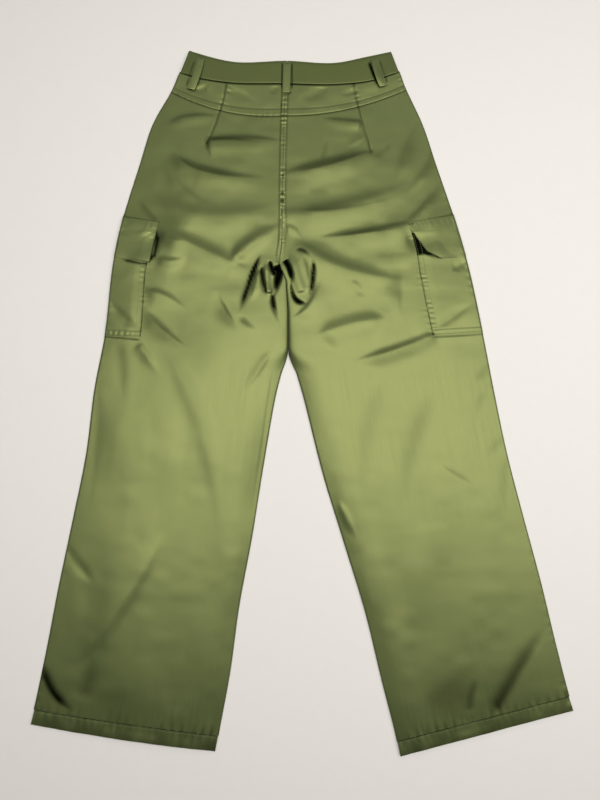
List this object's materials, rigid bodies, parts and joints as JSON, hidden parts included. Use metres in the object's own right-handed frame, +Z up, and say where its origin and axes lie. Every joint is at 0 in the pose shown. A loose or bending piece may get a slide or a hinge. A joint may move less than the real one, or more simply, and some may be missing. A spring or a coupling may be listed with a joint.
{
  "type": "cargo pants",
  "caption": "Women's high-waist wide-leg cargo pants in olive twill, lying flat face down: yokes, darts, belt loops, flapped side pockets and turned-up hems.",
  "frame": {"origin": "Centre of the outline on the surface the pants lie on, z = 0 at that surface.", "axes": "+Z up out of the surface, +Y from the hems towards the waist, +X to the wearer's right, seen from above with the back of the pants up."},
  "size_m": [0.784, 1.082, 0.0194],
  "materials": {
    "olive_twill": "satin-faced polyester twill, fine weave, soft lengthwise sheen",
    "button_resin": "dark olive resin, semi-matt"
  },
  "bodies": {
    "root": {"back_panel_left": "olive_twill", "back_panel_right": "olive_twill", "back_yoke_left": "olive_twill", "back_yoke_right": "olive_twill", "front_panel_left": "olive_twill", "front_panel_right": "olive_twill", "cargo_pocket_left": "olive_twill", "cargo_pocket_right": "olive_twill", "cargo_flap_left": "olive_twill", "cargo_flap_right": "olive_twill", "hem_left": "olive_twill", "hem_right": "olive_twill", "waistband": "olive_twill", "belt_loop_back_left": "olive_twill", "belt_loop_back_centre": "olive_twill", "belt_loop_back_right": "olive_twill", "belt_loop_front_left": "olive_twill", "belt_loop_front_right": "olive_twill", "fly_placket": "olive_twill", "waist_button": "button_resin"}
  },
  "joints": []
}
